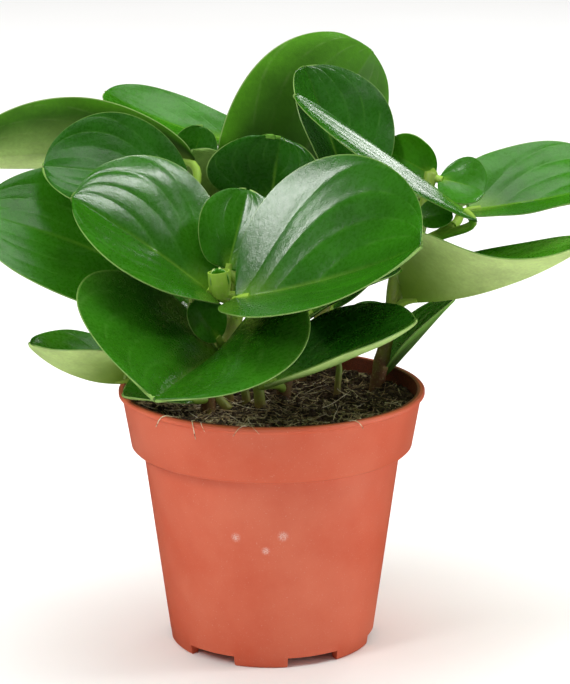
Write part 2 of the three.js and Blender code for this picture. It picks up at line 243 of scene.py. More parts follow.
LEAVES = {
    "big_front": Leaf("front", 0.82, (-13, -34, 145.5), (54, -74, 174), (-0.15, -0.54, 0.83),
        width=100, fold=38, cup=2, arch=-0.04, open=0.63, twist=-8, age=0.68, puff=0.9),
    "upper_left_front": Leaf("front", 0.9, (-21, -24, 143.5), (-74, -36.5, 184.5), (0.08, -0.42, 0.9),
        width=77, fold=30, cup=-2, arch=0.02, open=0.47, twist=-4, full=0.41, age=0.62, puff=1.1),
    "young_upright": Leaf("front", 0.99, (-16.5, -21, 154), (-9, -12.5, 183), (0.05, -0.93, 0.36),
        width=33, fold=22, cup=7, arch=0.05, twist=-2, full=0.26, age=0.55, puff=0.5),
    "bud": Leaf("front", 0.93, (-19, -29.5, 147.5), (-20.5, -31, 156.5), (0.1, -0.95, 0.3),
        width=9, fold=30, cup=14, arch=0.05, age=0),
    "low_front": Leaf("front", 0.5, (-20, -27, 122), (-41, -104, 125), (-0.04, -0.17, 0.98),
        width=103, fold=56, cup=-4, arch=0.01, open=0.63, twist=-16, full=0.34, age=0.65,
        notch=1.5, puff=0.4),
    "low_inner": Leaf("front", 0.62, (-20, -29, 128.5), (-30, -31, 143.5), (0.35, -0.8, 0.4),
        width=17, cup=6, arch=0.02, age=0.1),
    "soil_front_left": Leaf("front", 0.38, (-30, -24, 103), (-57, -24, 106), (0.1, -0.3, 1),
        width=26, fold=15, cup=10, arch=0.04),
    "right_low": Leaf("centre", 0.32, (-2, -24, 109), (55, -25, 135), (0.01, -0.12, 0.99),
        width=58, fold=17, cup=2, arch=-0.02, open=0.31, full=0.45, age=1, puff=0.3, painted_shade_across=0.7, roll=3),
    "centre_dark": Leaf("centre", 0.68, (14, 0, 130), (50, -2, 150), (-0.1, -0.15, 1),
        width=38, fold=12, arch=0.05, age=1),
    "centre_back": Leaf("centre", 0.99, (0, 16, 171), (4, 8, 201), (-0.15, -0.89, 0.43),
        width=55, fold=22, cup=11, arch=0.07, full=0.49, age=0.9, notch=2, puff=0.7),
    "right_boat": Leaf("right", 0.5, (53, 18, 133), (120, -24, 165), (0.11, 0.44, 0.89),
        width=76, fold=56, cup=-1, arch=-0.07, open=0.95, twist=30, full=0.35, age=0.08, puff=0.3),
    "right_upper": Leaf("right", 0.99, (79.5, 44, 163.7), (142, 46, 176), (-0.07, -0.31, 0.95),
        width=67, fold=19, cup=5, arch=-0.03, open=0.41, twist=-8, full=0.17, age=0.35),
    "right_edge_on": Leaf("right", 0.9, (80, 14, 166), (9, 15, 215), (0.63, -0.07, 0.77),
        width=42, fold=-6, cup=-3, arch=0.01, twist=1, full=0.67, puff=0.3),
    "right_low_back": Leaf("right", 0.34, (45, 25, 101), (73, 37, 129), (-0.8, -0.01, 0.6),
        width=39, fold=16, cup=3, arch=0, open=0.35, twist=3, full=0.39, age=0.9),
    "right_young_back": Leaf("right_shoot", 0.99, (65, 43, 178), (45, 49, 188), (-0.36, -0.89, 0.27),
        width=25, cup=15, arch=0.05, twist=-1, full=0.44, age=0),
    "right_young_front": Leaf("right_shoot", 0.95, (67, 40, 177), (85, 34, 173), (0.2, -0.75, 0.6),
        width=24, fold=10, cup=10, arch=0.05, age=0.25, puff=0.3),
    "right_curl": Leaf("right", 0.86, (57.5, 17, 166), (71, 15, 168.5), (-0.1, -0.85, 0.5),
        width=13, fold=12, arch=0.03, age=0.2),
    "back_right": Leaf("back", 0.96, (31, 31, 171.6), (13, 46, 221.6), (0.66, -0.71, 0.26),
        width=56, fold=28, cup=5, arch=0, twist=4, full=0.37, age=0.85, puff=0.35),
    "back_top": Leaf("back", 0.99, (-10, 50, 160), (41, 80, 224), (-0.15, 0.8, 0.3),
        width=74, fold=8, cup=10, arch=-0.05, full=0.3, age=1, notch=1.5, puff=0.3),
    "far_left": Leaf("left", 0.9, (-31, 27, 187), (-123, 30, 187), (0, 0.75, 0.7),
        width=49, fold=16, arch=0.05, age=0.45, puff=0.3, painted_shade_across=0.75),
    "left_upper": Leaf("left", 0.99, (-32, 5, 178), (-87, -8, 191), (0.1, -0.65, 0.7),
        width=50, fold=12, cup=10, arch=0.06, full=0.4, age=0.85, puff=0.6),
    "left_big": Leaf("left", 0.66, (-34, 0, 139), (-112, -13, 174), (0.1, -0.65, 0.7),
        width=63, fold=10, arch=0.06, age=0.6, puff=0.6),
    "left_low": Leaf("left", 0.36, (-58, -9, 107), (-93, -15, 123), (0, 0.07, 1),
        width=48, fold=51, cup=2, arch=-0.1, open=0.75, twist=-1, full=0.4, age=0.25, puff=0.3),
    "left_inner": Leaf("rear_left", 0.84, (-27, 46, 167), (-32, 36, 190), (0.1, 0.8, 0.5),
        width=26, cup=10, arch=0.04),
    "back_left_pale": Leaf("rear_left", 0.99, (-16, 64, 188), (-69, 80, 206), (0.3, -0.4, 0.85),
        width=33, fold=12, arch=-0.05, full=0.15, age=0.3, puff=0.25),
    "inner_back": Leaf("rear_left", 0.9, (-34, 46, 180), (-27, 45, 197.5), (0, -0.9, 0.3),
        width=18, fold=5, cup=5, arch=0.04),
    "rear_left_side": Leaf("rear_left", 0.7, (-36, 54, 150), (-94, 66, 160), (0.1, 0.1, 1), width=52),
    "rear_left_low": Leaf("rear_left", 0.42, (-30, 54, 118), (-54, 104, 130), (0, 0.1, 1),
        width=52, fold=16),
    "rear_left_back": Leaf("rear_left", 0.82, (-24, 66, 152), (-14, 118, 154), (0, 0.1, 1), width=52),
    "rear_right_side": Leaf("rear_right", 0.9, (36, 72, 156), (78, 100, 154), (0, 0, 1), width=50),
    "rear_right_low": Leaf("rear_right", 0.4, (24, 64, 118), (30, 118, 128), (0, 0.1, 1),
        width=54, fold=16),
    "rear_right_mid": Leaf("rear_right", 0.68, (32, 64, 137), (60, 88, 140), (0, 0, 1), width=42, fold=16),
    "rear_right_back": Leaf("rear_right", 0.88, (22, 88, 160), (14, 132, 172), (0, 0, 1), width=46),
    "right_back_low": Leaf("rear_right", 0.36, (32, 56, 106), (62, 80, 110), (0, 0, 1), width=34, fold=16),
}


def linear(code):
    """An sRGB hex colour as linear red, green, blue and alpha."""
    parts = [int(code[i:i + 2], 16) / 255 for i in (1, 3, 5)]
    return (*[c / 12.92 if c <= 0.04045 else ((c + 0.055) / 1.055) ** 2.4 for c in parts], 1.0)


def mesh_object(bm, name, materials, smooth_angle=None):
    """An object in metres from a bmesh in millimetres."""
    bmesh.ops.scale(bm, vec=(MM, MM, MM), verts=bm.verts)
    mesh = bpy.data.meshes.new(name)
    bm.to_mesh(mesh)
    bm.free()
    for material in materials:
        mesh.materials.append(material)
    mesh.shade_smooth()
    if smooth_angle is not None:
        mesh.set_sharp_from_angle(angle=math.radians(smooth_angle))
    piece = bpy.data.objects.new(name, mesh)
    bpy.context.scene.collection.objects.link(piece)
    return piece


def dress(piece, nodes=()):
    """A finished piece rides on the plant's one body and stands for its solids."""
    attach(piece, "root")
    if nodes:
        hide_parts(*nodes)


def settle(piece):
    """Applies a piece's modifiers to its mesh."""
    view = bpy.context.evaluated_depsgraph_get()
    mesh = bpy.data.meshes.new_from_object(piece.evaluated_get(view))
    piece.modifiers.clear()
    piece.data = mesh


def turned(profile, steps):
    """A closed shape turned round the upright axis from a profile of radii and heights."""
    bm = bmesh.new()
    line = [bm.verts.new((r, 0, z)) for r, z in profile]
    edges = [bm.edges.new(pair) for pair in zip(line, line[1:])]
    bmesh.ops.spin(bm, geom=line + edges, axis=(0, 0, 1), angle=2 * math.pi, steps=steps, use_merge=True)
    bmesh.ops.remove_doubles(bm, verts=bm.verts, dist=0.01)
    bmesh.ops.recalc_face_normals(bm, faces=bm.faces)
    return bm


def batches(items, make, size=40):
    """One bmesh of many small shapes, made in batches, because an operator slows as its bmesh grows."""
    whole = bmesh.new()
    scrap = bpy.data.meshes.new("batch")
    for first in range(0, len(items), size):
        part = bmesh.new()
        for item in items[first:first + size]:
            make(part, item)
        part.to_mesh(scrap)
        part.free()
        whole.from_mesh(scrap)
    bpy.data.meshes.remove(scrap)
    return whole


def smooth_curve(path, count):
    """Points at even steps of a smooth curve through a few points."""
    points = [Vector(p) for p in path]
    ends = [points[0] * 2 - points[1], *points, points[-1] * 2 - points[-2]]
    out = []
    for i in range(count + 1):
        place = i / count * (len(points) - 1)
        k = min(int(place), len(points) - 2)
        t = place - k
        a, b, c, d = ends[k:k + 4]
        square = 2 * a - 5 * b + 4 * c - d
        cube = 3 * b - a - 3 * c + d
        out.append(0.5 * (2 * b + (c - a) * t + square * t ** 2 + cube * t ** 3))
    return out


def along(points, share):
    """The point and the direction at a share of a polyline's length."""
    lengths = [(b - a).length for a, b in zip(points, points[1:])]
    left = share * sum(lengths)
    for a, b, length in zip(points, points[1:], lengths):
        if left <= length:
            return a.lerp(b, left / length), (b - a).normalized()
        left -= length
    return points[-1], (points[-1] - points[-2]).normalized()


def tapered(radius, points, loss):
    """A radius at each point that shrinks evenly, and nearly loses a share of itself by the last."""
    return [radius * (1 - loss * i / len(points)) for i in range(len(points))]


def bar(bm, points, radii, sides):
    """A round bar along points, with a radius at each and closed ends."""
    turn = (points[1] - points[0]).to_track_quat("Z", "Y")
    before = None
    for i, point in enumerate(points):
        ahead = (points[min(i + 1, len(points) - 1)] - points[max(i - 1, 0)]).normalized()
        turn = (turn @ Vector((0, 0, 1))).rotation_difference(ahead) @ turn
        circle = bmesh.ops.create_circle(
            bm, segments=sides, radius=radii[i], cap_ends=i in (0, len(points) - 1),
            matrix=Matrix.LocRotScale(point, turn, None))
        ring = circle["verts"]
        edges = [e for e in {e for v in ring for e in v.link_edges} if all(v in ring for v in e.verts)]
        if before:
            bmesh.ops.bridge_loops(bm, edges=before + edges)
        before = edges


# Leaves

def blade_surface(leaf, s, q):
    """Points on a leaf's upper side: s runs from base to tip, and q from edge to edge."""
    base = np.array(leaf.base, float)
    chord = np.array(leaf.tip, float) - base
    length = np.linalg.norm(chord)
    ahead = chord / length
    face = np.array(leaf.face, float)
    up = face - ahead * face.dot(ahead)
    up /= np.linalg.norm(up)
    skew = math.log(0.5) / math.log(WIDEST_AT)
    bulge = np.maximum(np.sin(np.pi * s ** skew), 0) ** (leaf.full + (0.5 - leaf.full) * s)
    half_width = BLADE_END_WIDTH / 2 + (leaf.width - BLADE_END_WIDTH) / 2 * bulge
    reach = np.abs(q) * half_width
    steepness = leaf.fold * (1 - leaf.open * s) + leaf.cup * reach / (leaf.width / 2)
    rise = np.radians(steepness)
    turn = np.radians(leaf.twist * s)[:, None]
    above = up * np.cos(turn) + np.cross(ahead, up) * np.sin(turn)
    side = np.cross(above, ahead)
    middle = base + chord * s[:, None] + up * (leaf.arch * length * 4 * s * (1 - s))[:, None]
    out = (np.sign(q) * reach * np.cos(rise))[:, None]
    return middle + side * out + above * (reach * np.sin(rise))[:, None]


def midrib_point(leaf, s):
    """One point on a leaf's midrib."""
    return Vector(blade_surface(leaf, np.array([float(s)]), np.array([0.0]))[0])


def puffs(s, q):
    """How far the blade swells between its veins: 0 in the crease at each vein, and 1 at most."""
    veins = [share * (1 - np.exp(-np.maximum(s - start, 0) / rise))
             for start, share, rise in reversed(VEINS)]
    lines = [np.zeros_like(s), *veins, np.full_like(s, MARGIN_LINE)]
    swell = np.zeros_like(s)
    for low, high in zip(lines, lines[1:]):
        gap = np.maximum(high - low, 1e-4)
        place = (np.abs(q) - low) / gap
        hump = (1 - np.abs(2 * place - 1) ** PUFF_POWER) * np.minimum(gap / FULL_PUFF_GAP, 1)
        swell = np.where((place > 0) & (place < 1), np.maximum(swell, hump), swell)
    return swell


def blade_grid(leaf, step):
    """A flat mesh for a blade, and s and q for each of its points, with more points near the edges."""
    length = (Vector(leaf.tip) - Vector(leaf.base)).length
    bm = bmesh.new()
    bmesh.ops.create_grid(
        bm, x_segments=max(12, round(length / step)), y_segments=max(8, 2 * round(leaf.width / step / 2)),
        size=0.5)
    flat = np.array([v.co for v in bm.verts])
    s = 0.5 * (1 - np.cos(np.pi * (flat[:, 0] + 0.5)))
    q = np.sign(flat[:, 1]) * (1 - (1 - np.abs(2 * flat[:, 1])) ** EDGE_CROWDING)
    return bm, s, q


def blade_relief(leaf, s, q, settings):
    """The upper side of a blade with its puffs, waves, rolled margin and notched tip."""
    nudge = 0.01
    small = min(leaf.width / FULL_PUFF_WIDTH, 1)
    ahead = blade_surface(leaf, np.minimum(s + nudge, 1), q)
    ahead -= blade_surface(leaf, np.maximum(s - nudge, 0), q)
    aside = blade_surface(leaf, s, q + nudge) - blade_surface(leaf, s, q - nudge)
    normal = np.cross(ahead, aside)
    normal /= np.linalg.norm(normal, axis=1)[:, None]

    fade = np.sin(np.pi * s) ** END_FADE * (1 - q ** MARGIN_FADE) * small
    lift = leaf.puff * settings.vein_depth * (puffs(s, q) - 0.5) * fade
    own_place = Vector(leaf.tip) * 0.37
    spots = [Vector((x * WAVES[0], y * WAVES[1], 0)) + own_place for x, y in zip(s, q)]
    wave = np.array([noise.noise(spot) for spot in spots])
    lift += settings.blade_wave * wave * (CALM_MIDRIB + (1 - CALM_MIDRIB) * np.abs(q)) * small
    margin = np.maximum(-q - ROLL_START, 0) / (1 - ROLL_START)
    lift += leaf.roll * margin ** 2 * np.sin(np.pi * s)
    dent = leaf.notch * np.maximum((s - 1 + NOTCH_LENGTH) / NOTCH_LENGTH, 0) ** 2
    back = np.array((Vector(leaf.tip) - Vector(leaf.base)).normalized())
    return blade_surface(leaf, s, q) + normal * lift[:, None] - back * dent[:, None]


def blade_depth(leaf, s, q):
    """A blade's thickness as a share of the most: least at the edge and most over the keel."""
    small = min(leaf.width / FULL_PUFF_WIDTH, 1)
    keel = KEEL * np.exp(-(q * leaf.width / 2 / KEEL_WIDTH) ** 2) * (1 - KEEL_FADE * s) * small
    body = BLADE_EDGE + (BLADE_MIDDLE - BLADE_EDGE) * (1 - q ** 4)
    return (body + keel) / (BLADE_MIDDLE + KEEL)


def blade_object(name, leaf, materials, settings):
    """A blade with an upper skin, a lower skin and an edge, which the first three materials cover."""
    bm, s, q = blade_grid(leaf, settings.blade_step)
    thick = bm.verts.layers.deform.verify()
    # Each point's maturity, with painted shade added in, picks its colour in the skins
    age = bm.verts.layers.float.new("age")
    # Painted shade: one side of the blade is made darker than the other
    point_age_and_shade = np.clip(leaf.age + leaf.painted_shade_across * q, 0, 1)
    places = blade_relief(leaf, s, q, settings)
    for v, place, depth, age_and_shade_here in zip(bm.verts, places, blade_depth(leaf, s, q), point_age_and_shade):
        v.co = place
        v[thick][0] = depth
        v[age] = age_and_shade_here
    uv = bm.loops.layers.uv.new("blade")
    bm.verts.index_update()
    for face in bm.faces:
        for loop in face.loops:
            i = loop.vert.index
            loop[uv].uv = (s[i], (q[i] + 1) / 2)
    blade = mesh_object(bm, "leaf_blade_" + name, materials)
    blade.vertex_groups.new(name="thickness")
    shell = blade.modifiers.new("Thickness", "SOLIDIFY")
    shell.thickness = (BLADE_MIDDLE + KEEL) * MM
    shell.vertex_group = "thickness"
    shell.offset = -0.5
    shell.material_offset = 1
    shell.material_offset_rim = 2
    settle(blade)
    return blade


def stalk_points(leaf, stems):
    """The stalk's middle line: from the stem's axis in a bow to the blade, and a little under it."""
    foot, stem_ahead = along(stems[leaf.stem], leaf.at)
    base, inside = midrib_point(leaf, 0), midrib_point(leaf, STALK_TUCK)
    arrival = (inside - base).normalized()
    pull = (base - foot).length / 3
    leave = (base - foot).normalized() + stem_ahead * 0.5
    a, b, c, d = foot, foot + leave * pull, base - arrival * pull, inside
    curve = []
    for i in range(STALK_STEPS + 1):
        t = i / STALK_STEPS
        curve.append(a * (1 - t) ** 3 + b * 3 * t * (1 - t) ** 2 + c * 3 * t ** 2 * (1 - t) + d * t ** 3)
    return curve


def leaf_piece(name, leaf, stems, materials, settings):
    """One leaf: a blade with veins in relief and a keel under its midrib, and its stalk."""
    blade = blade_object(name, leaf, materials, settings)
    bm = bmesh.new()
    bm.from_mesh(blade.data)
    bpy.data.objects.remove(blade)
    bmesh.ops.scale(bm, vec=(1 / MM,) * 3, verts=bm.verts)
    start = len(bm.faces)
    radius = SMALL_STALK_RADIUS if leaf.width < SMALL_LEAF_WIDTH else STALK_RADIUS
    radii = [radius * (1.05 - 0.35 * max(i / STALK_STEPS - 0.5, 0)) for i in range(STALK_STEPS + 1)]
    radii[0] = radius * STALK_FOOT
    bar(bm, stalk_points(leaf, stems), radii, STALK_SIDES)
    bm.faces.ensure_lookup_table()
    age = bm.verts.layers.float["age"]
    for face in bm.faces[start:]:
        face.material_index = len(materials) - 1
        face.smooth = True
        for v in face.verts:
            v[age] = leaf.age
    bmesh.ops.recalc_face_normals(bm, faces=bm.faces[start:])
    dress(mesh_object(bm, "fine_leaf_" + name, materials, SHARP), ["leaf_" + name])


# Materials

class Look:
    """A node material under construction. Each step adds a node and gives one of its outputs."""

    def __init__(self, name):
        self.material = bpy.data.materials.new(name)
        self.material.use_nodes = True
        self.material.node_tree.nodes.clear()
        self.place = self.add("TexCoord", out=3)

    def add(self, kind, settings=None, inputs=None, out=0):
        """Any node, with its settings, and with its inputs set or linked."""
        tree = self.material.node_tree
        node = tree.nodes.new("ShaderNode" + kind)
        for name, value in (settings or {}).items():
            setattr(node, name, value)
        pairs = inputs.items() if isinstance(inputs, dict) else enumerate(inputs or [])
        for key, value in pairs:
            if isinstance(value, bpy.types.NodeSocket):
                tree.links.new(value, node.inputs[key])
            else:
                node.inputs[key].default_value = value
        return node.outputs[out] if node.outputs else None

    def maths(self, operation, *values):
        """A sum on numbers and outputs."""
        return self.add("Math", {"operation": operation}, values)

    def times(self, first, second):
        """Their product."""
        return self.maths("MULTIPLY", first, second)

    def remap(self, value, *ends):
        """A value taken from one range to another, given as low, high, new low and new high."""
        return self.add("MapRange", {}, [value, *ends])

    def ease(self, value, *ends):
        """The same, with a soft start and end."""
        return self.add("MapRange", {"interpolation_type": "SMOOTHSTEP"}, [value, *ends])

    def mix(self, share, first, second):
        """Two colours mixed by the second's share. Text stands for a hex colour."""
        colours = [linear(colour) if isinstance(colour, str) else colour for colour in (first, second)]
        return self.add("MixRGB", {}, [share, *colours])

    def noise(self, scale, detail=2.0, roughness=0.5):
        """A cloudy pattern that stays with the piece, with about this many clouds to the metre."""
        return self.add("TexNoise", {}, {
            "Vector": self.place, "Scale": scale, "Detail": detail, "Roughness": roughness})

    def bump(self, strength, depth, height, **more):
        """Relief in the light only, with its depth in millimetres."""
        return self.add("Bump", {}, {"Strength": strength, "Distance": depth * MM, "Height": height, **more})

    def skin(self, colour, roughness, more=None):
        """A surface with this colour and roughness, and whatever else is given."""
        inputs = {"Base Color": colour, "Roughness": roughness, **(more or {})}
        return self.add("BsdfPrincipled", {}, inputs)

    def finish(self, surface):
        """The finished material."""
        self.add("OutputMaterial", {}, {"Surface": surface})
        return self.material


def side_veins(look, s, reach, width):
    """Lines that follow the blade's side veins: 1 on a vein and 0 away from it."""
    lines = None
    for start, share, rise in VEINS:
        run = look.maths("MAXIMUM", look.maths("SUBTRACT", s, start), 0.0)
        fall = look.maths("EXPONENT", look.times(run, -1 / rise))
        target = look.maths("MULTIPLY_ADD", fall, -share, share)
        away = look.maths("ABSOLUTE", look.maths("SUBTRACT", reach, target))
        line = look.ease(away, 0.0, width, 1.0, 0.0)
        line = look.times(line, look.remap(run, 0.0, VEIN_START, 0.0, 1.0))
        lines = line if lines is None else look.maths("MAXIMUM", lines, line)
    return lines


def skin_dots(look):
    """Small dots in some of the cells of a pattern: 0.8 on a dot and 0 away from it."""
    cells = look.add("TexVoronoi", {}, {"Vector": look.place, "Scale": 75.0})
    draw = look.add("SeparateXYZ", {}, [cells.node.outputs[1]])
    dot = look.remap(cells, 0.014, 0.026, 1.0, 0.0)
    return look.times(dot, look.remap(draw, 0.55, 0.56, 0.0, 0.8))


def blade_look(name, palette, side):
    """What both sides of a blade share. side is 1 where the veins are sunk and -1 where they stand out."""
    look = Look(name)
    s = look.add("SeparateXYZ", {}, [look.add("UVMap", {"uv_map": "blade"})])
    reach = look.maths("ABSOLUTE", look.maths("MULTIPLY_ADD", s.node.outputs[1], 2.0, -1.0))
    age = look.add("Attribute", {"attribute_name": "age"}, out=2)
    mottle = look.noise(700.0, 3.0, 0.6)

    gaps = look.remap(look.noise(160.0), 0.4, 0.62, 0.05, 1.0)
    veins = look.times(side_veins(look, s, reach, palette["vein_width"]), gaps)
    rib = look.ease(reach, 0.0, RIB_REACH, 1.0, 0.0)
    rib = look.times(rib, look.remap(s, 0.1, 0.75, 1.0, 0.1))
    rim = look.ease(reach, *RIM_REACH, 0.0, 1.0)
    # Towards the stalk: a paler yellow-green on the upper side, its own colour, and painted shade on the
    # lower side
    base_tint_and_shade_length = look.remap(age, 0.0, 1.0, *palette["base_tint_and_shade_length"])
    base_tint_and_shade = look.ease(s, 0.0, base_tint_and_shade_length, 1.0, 0.0)
    base_tint_and_shade = look.times(base_tint_and_shade, look.ease(reach, *palette["base_tint_and_shade_width"], 1.0, 0.0))

    patches = look.remap(look.noise(55.0, 3.0, 0.55), 0.3, 0.7, 0.82, 1.25)
    tone = look.times(patches, look.remap(mottle, 0.3, 0.7, 0.9, 1.12))
    # Young to mature colour; the dark end also paints shade on leaves that lie in shadow
    grown_and_shaded = look.mix(age, palette["young"], palette["old_and_shaded"])
    colour = look.add("HueSaturation", {}, {"Value": tone, "Color": grown_and_shaded})
    base_tint_and_shade_colour = look.mix(age, palette["base_tint_and_shade_young"], palette["base_tint_and_shade_old"])
    marks = (
        (veins, *palette["vein"]), (rib, *palette["rib"]),
        (base_tint_and_shade, base_tint_and_shade_colour, palette["base_tint_and_shade"]), (rim, *palette["rim"]),
    )
    for mask, tint, strength in marks:
        colour = look.mix(look.times(mask, strength), colour, tint)
    colour = look.mix(skin_dots(look), colour, palette["dot"])

    dips = look.maths("MAXIMUM", veins, rib)
    relief = look.maths("MULTIPLY_ADD", dips, -0.5 * side, look.noise(260.0, 3.0))
    bump = look.bump(0.42, 0.12, look.noise(2200.0), Normal=look.bump(0.22, 0.4, relief))
    wax = look.remap(mottle, 0.3, 0.7, palette["rough"] - 0.05, palette["rough"] + 0.08)
    skin = look.skin(colour, wax, {
        "Normal": bump, "IOR": WAX_IOR, "Specular IOR Level": palette["shine"],
        "Coat Weight": palette["coat"], "Coat Roughness": 0.14, "Coat Normal": bump,
    })
    glow = look.mix(0.5, colour, palette["glow"])
    through = look.add("BsdfTranslucent", {}, {"Color": glow, "Normal": bump})
    share = look.remap(age, 0.0, 1.0, *palette["through"])
    return look.finish(look.add("MixShader", {}, [share, skin, through]))


def leaf_top_material():
    """Upper leaf skin with a thick cuticle of wax: deep green and glossy, with faint sunken veins."""
    # The dark mature tone also paints shade on leaves that lie in shadow
    return blade_look("waxy leaf, upper side", dict(
        young="#3c870c", old_and_shaded="#1a5008", vein=("#5f9a3c", 0.2), vein_width=0.03, rib=("#86b83c", 0.6),
        rim=("#8fb45c", 0.5), base_tint_and_shade_young="#8fc036", base_tint_and_shade_old="#5c941e", base_tint_and_shade=0.7, base_tint_and_shade_width=(0.05, 0.4),
        base_tint_and_shade_length=(0.3, 0.3), dot="#c9bd96", rough=0.27, shine=0.5, coat=0.7, glow="#6fb410",
        through=(0.2, 0.06)), 1)


def leaf_under_material():
    """Lower leaf skin with little wax: pale yellow-green, duller, with raised veins, and lit through, with
    painted shade that darkens it towards the stalk.
    """
    # The dark mature tone also paints shade on leaves that lie in shadow
    return blade_look("pale leaf, lower side", dict(
        young="#d4ec98", old_and_shaded="#4c8c0e", vein=("#b9cf86", 0.1), vein_width=0.03, rib=("#a9c864", 0.35),
        # The near-black tone towards the stalk is painted shade
        rim=("#c8da98", 0.5), base_tint_and_shade_young="#6f9a10", base_tint_and_shade_old="#0c2802", base_tint_and_shade=0.92, base_tint_and_shade_width=(0.6, 1.1),
        base_tint_and_shade_length=(0.6, 1.5), dot="#3a3a18", rough=0.5, shine=0.25, coat=0.05, glow="#8fc41c",
        through=(0.28, 0.05)), -1)


def leaf_edge_material():
    """The cut-thin edge of the leaf, where the skins meet: a pale line that catches the light."""
    look = Look("leaf edge, pale line")
    colour = look.mix(look.noise(300.0), "#6f9a44", "#a6c876")
    skin = look.skin(colour, 0.4, {"IOR": WAX_IOR})
    through = look.add("BsdfTranslucent", {}, {"Color": linear("#a9cc4a")})
    return look.finish(look.add("MixShader", {}, [0.25, skin, through]))


def stem_material(name, low, high, span):
    """Fleshy stem skin: red-brown and corky near the peat, and yellow-green and smooth higher up."""
    look = Look(name)
    height = look.add("SeparateXYZ", {}, [look.place], out=2)
    rise = look.remap(height, span[0] * MM, span[1] * MM, 0.0, 1.0)
    ragged = look.maths("MULTIPLY_ADD", look.noise(260.0, 4.0), 0.8, rise)
    ragged = look.add("Math", {"operation": "SUBTRACT", "use_clamp": True}, [ragged, 0.4])
    fine = look.noise(1200.0, 3.0)
    corky = look.remap(ragged, 0.0, 1.0, 1.0, 0.25)
    specks = look.times(look.remap(fine, 0.55, 0.75, 0.0, 0.45), corky)
    colour = look.mix(specks, look.mix(ragged, low, high), "#c9b98a")
    return look.finish(look.skin(colour, 0.45, {"Normal": look.bump(0.4, 0.3, fine)}))


def peat_material():
    """Sphagnum peat, damp: nearly black-brown, crumbly and matte, with lighter fibres in it."""
    look = Look("damp peat")
    lumps = look.noise(350.0, 6.0, 0.7)
    crumbs = look.add("TexVoronoi", {}, {"Vector": look.place, "Scale": 900.0})
    colour = look.mix(look.remap(lumps, 0.35, 0.7, 0.0, 1.0), "#1a140e", "#5b4530")
    colour = look.mix(look.remap(crumbs, 0.0, 0.16, 0.5, 0.0), colour, "#94795a")
    bump = look.bump(1.0, 1.2, look.maths("ADD", lumps, crumbs))
    return look.finish(look.skin(colour, 0.9, {"Normal": bump}))


def crumb_material(name, dark, light, rough=0.85):
    """Loose dry bits of one kind: matte, and from dark to light by a pattern the size of a bit."""
    look = Look(name)
    tone = look.remap(look.noise(220.0, 3.0, 0.8), 0.35, 0.65, 0.0, 1.0)
    bump = look.bump(0.5, 0.2, look.noise(2500.0))
    return look.finish(look.skin(look.mix(tone, dark, light), rough, {"Normal": bump}))


def scuff(look, grain, turn, height, size):
    """A worn spot on the pot's body: how white it is, most in the middle and broken up by the grain."""
    wall = BASE_RADIUS + (BODY_RADIUS - BASE_RADIUS) * height / COLLAR_Z
    middle = Matrix.Rotation(math.radians(turn), 3, "Z") @ Vector((wall, 0, height)) * MM
    away = look.add("VectorMath", {"operation": "DISTANCE"}, [look.place, middle], out=1)
    near = look.ease(away, 0.0, size * MM, 1.0, 0.0)
    return look.times(near, look.remap(grain, 0.4, 0.6, 0.1, 0.75))


def peat_stain(look, grain):
    """How far peat has stained the pot: only inside the collar, in a layer that follows the wall's slope."""
    flat = look.add("VectorMath", {"operation": "MULTIPLY"}, [look.place, (1.0, 1.0, 0.0)])
    radius = look.add("VectorMath", {"operation": "LENGTH"}, [flat], out=1)
    height = look.add("SeparateXYZ", {}, [look.place], out=2)
    slope = (RIM_RADIUS - LIP_WIDTH - COLLAR_RADIUS) / (POT_HEIGHT - LIP_DEPTH - COLLAR_Z)
    upright = look.maths("ADD", radius, look.maths("MULTIPLY_ADD", height, -slope, slope * COLLAR_Z * MM))
    edges = [(COLLAR_RADIUS - depth) * MM for depth in STAIN_DEPTH]
    inside = look.remap(upright, *edges, 1.0, 0.0)
    above = look.remap(height, COLLAR_Z * MM, (COLLAR_Z + STAIN_RISE) * MM, 0.0, 1.0)
    share = look.times(inside, above)
    return look.times(share, look.remap(grain, 0.35, 0.6, 0.6, 0.9))


def pot_material(settings):
    """Moulded polypropylene: terracotta colour, satin, fine-grained and scuffed, and peat-brown inside."""
    look = Look("moulded polypropylene, terracotta")
    cloud = look.noise(30.0, 4.0, 0.6)
    grain = look.noise(2200.0)
    tone = look.remap(cloud, 0.3, 0.7, 0.0, 1.0)
    colour = look.mix(tone, (*settings.pot_colour, 1.0), "#dd7050")
    colour = look.mix(look.remap(look.noise(1500.0, 3.0, 0.7), 0.62, 0.74, 0.0, 0.45), colour, "#e2b09c")
    for turn, height, size in SCUFFS:
        colour = look.mix(scuff(look, grain, turn, height, size), colour, "#eed9cf")
    colour = look.mix(peat_stain(look, grain), colour, "#4d2b1b")
    rough = look.remap(cloud, 0.3, 0.7, 0.42, 0.56)
    return look.finish(look.skin(colour, rough, {"Normal": look.bump(0.2, 0.1, grain), "IOR": PLASTIC_IOR}))


def paper_material():
    """White seamless background paper: matte, with the faintest mottling."""
    look = Look("white background paper")
    return look.finish(look.skin(look.mix(look.noise(3.0), "#f6f5f3", "#fbfbfa"), 0.9))


# Sizes and colours that a user would change

def power(light, default):
    """The power of one light, as a setting."""
    return FloatProperty(
        name=light.capitalize() + " power", description="Power of the " + light, default=default,
        unit="POWER")


